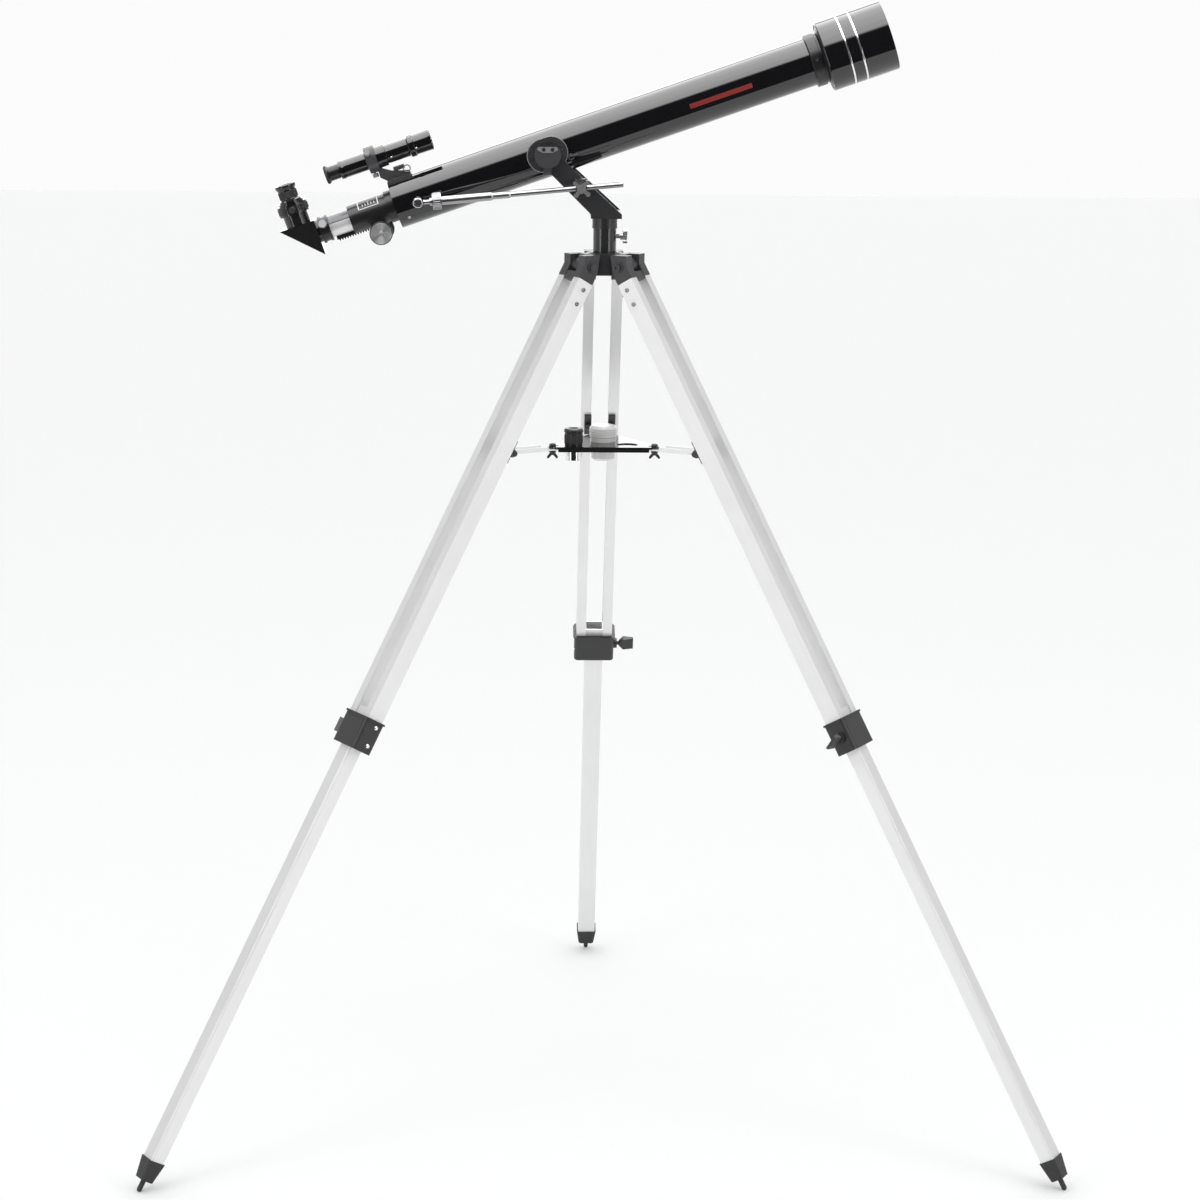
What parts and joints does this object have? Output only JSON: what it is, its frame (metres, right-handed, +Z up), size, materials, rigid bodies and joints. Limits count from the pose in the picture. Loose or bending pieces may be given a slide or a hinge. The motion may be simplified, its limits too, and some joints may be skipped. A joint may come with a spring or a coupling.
{
  "type": "telescope on tripod",
  "caption": "Small refracting telescope on a fork mount and folding tripod, with finder, right-angle eyepiece, slow-motion rod, accessory tray, sliding legs and working focuser.",
  "frame": {"origin": "on the floor, under the tripod's vertical axis", "axes": "+Z up, +X the way the optical tube points (it is raised 19.3 degrees), one leg stands along +Y"},
  "size_m": [1.0544, 0.9164, 1.3192],
  "materials": {
    "black_gloss": "gloss",
    "black_plastic": "satin",
    "grey_plastic": "satin",
    "black_metal": "semi-gloss",
    "bright_metal": "polished",
    "satin_aluminium": "satin anodised",
    "rubber": "matt",
    "steel": "brushed",
    "lens_glass": "polished",
    "clear_plastic": "translucent"
  },
  "bodies": {
    "tripod_head": {"head_casting": "grey_plastic", "head_plate": "grey_plastic", "pillar_tube": "black_gloss", "hinge_bolts": "black_metal", "accessory_tray": "black_gloss"},
    "azimuth_lock_screw": {"azimuth_lock_screw": "bright_metal"},
    "spare_eyepiece": {"spare_eyepiece": "black_plastic"},
    "eyepiece_case": {"eyepiece_case": "clear_plastic"},
    "yoke": {"yoke": "black_metal", "azimuth_spindle": "steel", "trunnion_caps": "black_plastic"},
    "optical_tube": {"main_tube": "black_gloss", "objective_cell": "black_plastic", "objective_lens": "lens_glass", "trunnion_saddles": "black_plastic", "focuser_body": "black_plastic", "rod_stud": "black_metal", "finder_bracket": "black_plastic", "finder_tube": "black_gloss", "finder_screws": "bright_metal"},
    "dew_shield": {"dew_shield": "black_gloss"},
    "finder_eyepiece": {"finder_eyepiece": "black_plastic"},
    "drawtube": {"drawtube": "bright_metal", "drawtube_rack": "black_plastic", "drawtube_collar": "black_plastic"},
    "focus_shaft": {"focus_pinion": "steel", "focus_knobs": "bright_metal"},
    "diagonal": {"diagonal_housing": "black_plastic", "diagonal_prism": "lens_glass"},
    "eyepiece": {"eyepiece": "black_plastic"},
    "drawtube_thumbscrew": {"drawtube_thumbscrew": "bright_metal"},
    "holder_thumbscrew": {"holder_thumbscrew": "bright_metal"},
    "slow_motion_rod": {"slow_motion_rod": "bright_metal"},
    "knurled_nut": {"knurled_nut": "bright_metal"},
    "rod_swivel": {"rod_swivel": "bright_metal"},
    "star_knob": {"star_knob": "bright_metal"},
    "leg_1": {"leg_rails_1": "satin_aluminium", "leg_top_1": "grey_plastic", "leg_collar_1": "black_plastic", "brace_bracket_1": "black_metal"},
    "leg_extension_1": {"leg_extension_1": "satin_aluminium", "foot_1": "rubber"},
    "leg_knob_1": {"leg_knob_1": "black_plastic"},
    "brace_arm_1": {"brace_arm_1": "satin_aluminium"},
    "leg_2": {"leg_rails_2": "satin_aluminium", "leg_top_2": "grey_plastic", "leg_collar_2": "black_plastic", "brace_bracket_2": "black_metal"},
    "leg_extension_2": {"leg_extension_2": "satin_aluminium", "foot_2": "rubber"},
    "leg_knob_2": {"leg_knob_2": "black_plastic"},
    "brace_arm_2": {"brace_arm_2": "satin_aluminium"},
    "leg_3": {"leg_rails_3": "satin_aluminium", "leg_top_3": "grey_plastic", "leg_collar_3": "black_plastic", "brace_bracket_3": "black_metal"},
    "leg_extension_3": {"leg_extension_3": "satin_aluminium", "foot_3": "rubber"},
    "leg_knob_3": {"leg_knob_3": "black_plastic"},
    "brace_arm_3": {"brace_arm_3": "satin_aluminium"}
  },
  "joints": [
    {"name": "azimuth", "type": "hinge", "parent": "tripod_head", "child": "yoke", "pos_m": [0, 0, 1.06], "axis": [0, 0, 1], "continuous": true},
    {"name": "azimuth_lock", "type": "hinge", "parent": "tripod_head", "child": "azimuth_lock_screw", "pos_m": [0.021, 0, 1.049], "axis": [1, 0, 0], "range_deg": [0, 180]},
    {"name": "altitude", "type": "hinge", "parent": "yoke", "child": "optical_tube", "pos_m": [-0.067, 0, 1.1445], "axis": [0, -1, 0], "range_deg": [-20, 45]},
    {"name": "dew_shield_slide", "type": "slide", "parent": "optical_tube", "child": "dew_shield", "axis": [0.9438, 0, 0.3305], "range_m": [0, 0.05]},
    {"name": "finder_focus", "type": "hinge", "parent": "optical_tube", "child": "finder_eyepiece", "pos_m": [-0.31252, 0, 1.11945], "axis": [-0.9438, 0, -0.3305], "continuous": true},
    {"name": "drawtube_slide", "type": "slide", "parent": "optical_tube", "child": "drawtube", "axis": [-0.9438, 0, -0.3305], "range_m": [-0.02, 0.06]},
    {"name": "focus_spin", "type": "hinge", "parent": "optical_tube", "child": "focus_shaft", "pos_m": [-0.25687, 0, 1.05311], "axis": [0, -1, 0], "range_deg": [-195, 577]},
    {"name": "diagonal_turn", "type": "hinge", "parent": "drawtube", "child": "diagonal", "pos_m": [-0.32749, 0, 1.05328], "axis": [-0.9438, 0, -0.3305], "continuous": true},
    {"name": "eyepiece_slide", "type": "slide", "parent": "diagonal", "child": "eyepiece", "axis": [-0.3305, 0, 0.9438], "range_m": [0, 0.03]},
    {"name": "drawtube_clamp", "type": "hinge", "parent": "drawtube", "child": "drawtube_thumbscrew", "pos_m": [-0.32183, 0, 1.05526], "axis": [-0.113, -0.9397, 0.3228], "range_deg": [0, 180]},
    {"name": "holder_clamp", "type": "hinge", "parent": "diagonal", "child": "holder_thumbscrew", "pos_m": [-0.35902, 0, 1.07826], "axis": [0, -1, 0], "range_deg": [0, 180]},
    {"name": "rod_tilt", "type": "hinge", "parent": "optical_tube", "child": "slow_motion_rod", "pos_m": [-0.21425, -0.047, 1.08965], "axis": [0, -1, 0], "range_deg": [-8, 4]},
    {"name": "rod_nut_turn", "type": "hinge", "parent": "slow_motion_rod", "child": "knurled_nut", "pos_m": [-0.19265, -0.047, 1.09172], "axis": [0.9954, 0, 0.0956], "continuous": true},
    {"name": "rod_swivel_turn", "type": "hinge", "parent": "yoke", "child": "rod_swivel", "pos_m": [-0.0283, -0.047, 1.1075], "axis": [0, -1, 0], "range_deg": [-18, 40]},
    {"name": "star_knob_turn", "type": "hinge", "parent": "rod_swivel", "child": "star_knob", "pos_m": [-0.0283, -0.058, 1.1075], "axis": [0, -1, 0], "range_deg": [0, 180]},
    {"name": "spare_eyepiece_lift", "type": "slide", "parent": "tripod_head", "child": "spare_eyepiece", "axis": [0, 0, 1], "range_m": [0, 0.05]},
    {"name": "eyepiece_case_lift", "type": "slide", "parent": "tripod_head", "child": "eyepiece_case", "axis": [0, 0, 1], "range_m": [0, 0.05]},
    {"name": "leg_1_fold", "type": "hinge", "parent": "tripod_head", "child": "leg_1", "pos_m": [0, 0.03, 1.016], "axis": [-1, 0, 0], "range_deg": [0, 12]},
    {"name": "leg_1_slide", "type": "slide", "parent": "leg_1", "child": "leg_extension_1", "axis": [0, -0.4925, 0.8703], "range_m": [0, 0.45]},
    {"name": "leg_1_clamp", "type": "hinge", "parent": "leg_1", "child": "leg_knob_1", "pos_m": [0.03, 0.32355, 0.49731], "axis": [-1, 0, 0], "range_deg": [0, 120]},
    {"name": "brace_arm_1_swing", "type": "hinge", "parent": "leg_1", "child": "brace_arm_1", "pos_m": [0, 0.12855, 0.80634], "axis": [-1, 0, 0], "range_deg": [-61, 0]},
    {"name": "leg_2_fold", "type": "hinge", "parent": "tripod_head", "child": "leg_2", "pos_m": [-0.02598, -0.015, 1.016], "axis": [0.5, -0.866, 0], "range_deg": [0, 12]},
    {"name": "leg_2_slide", "type": "slide", "parent": "leg_2", "child": "leg_extension_2", "axis": [0.4266, 0.2463, 0.8703], "range_m": [0, 0.45]},
    {"name": "leg_2_clamp", "type": "hinge", "parent": "leg_2", "child": "leg_knob_2", "pos_m": [-0.2952, -0.13579, 0.49731], "axis": [0.5, -0.866, 0], "range_deg": [0, 120]},
    {"name": "brace_arm_2_swing", "type": "hinge", "parent": "leg_2", "child": "brace_arm_2", "pos_m": [-0.11132, -0.06427, 0.80634], "axis": [0.5, -0.866, 0], "range_deg": [-61, 0]},
    {"name": "leg_3_fold", "type": "hinge", "parent": "tripod_head", "child": "leg_3", "pos_m": [0.02598, -0.015, 1.016], "axis": [0.5, 0.866, 0], "range_deg": [0, 12]},
    {"name": "leg_3_slide", "type": "slide", "parent": "leg_3", "child": "leg_extension_3", "axis": [-0.4266, 0.2463, 0.8703], "range_m": [0, 0.45]},
    {"name": "leg_3_clamp", "type": "hinge", "parent": "leg_3", "child": "leg_knob_3", "pos_m": [0.2652, -0.18776, 0.49731], "axis": [0.5, 0.866, 0], "range_deg": [0, 120]},
    {"name": "brace_arm_3_swing", "type": "hinge", "parent": "leg_3", "child": "brace_arm_3", "pos_m": [0.11132, -0.06427, 0.80634], "axis": [0.5, 0.866, 0], "range_deg": [-61, 0]}
  ],
  "couplings": [
    {"joint": "focus_spin", "follows": "drawtube_slide", "rad_per_m": 166.67},
    {"joint": "rod_tilt", "follows": "altitude", "ratio": -0.15},
    {"joint": "rod_swivel_turn", "follows": "altitude", "ratio": 0.85},
    {"joint": "brace_arm_1_swing", "follows": "leg_1_fold", "ratio": -5},
    {"joint": "brace_arm_2_swing", "follows": "leg_2_fold", "ratio": -5},
    {"joint": "brace_arm_3_swing", "follows": "leg_3_fold", "ratio": -5}
  ]
}
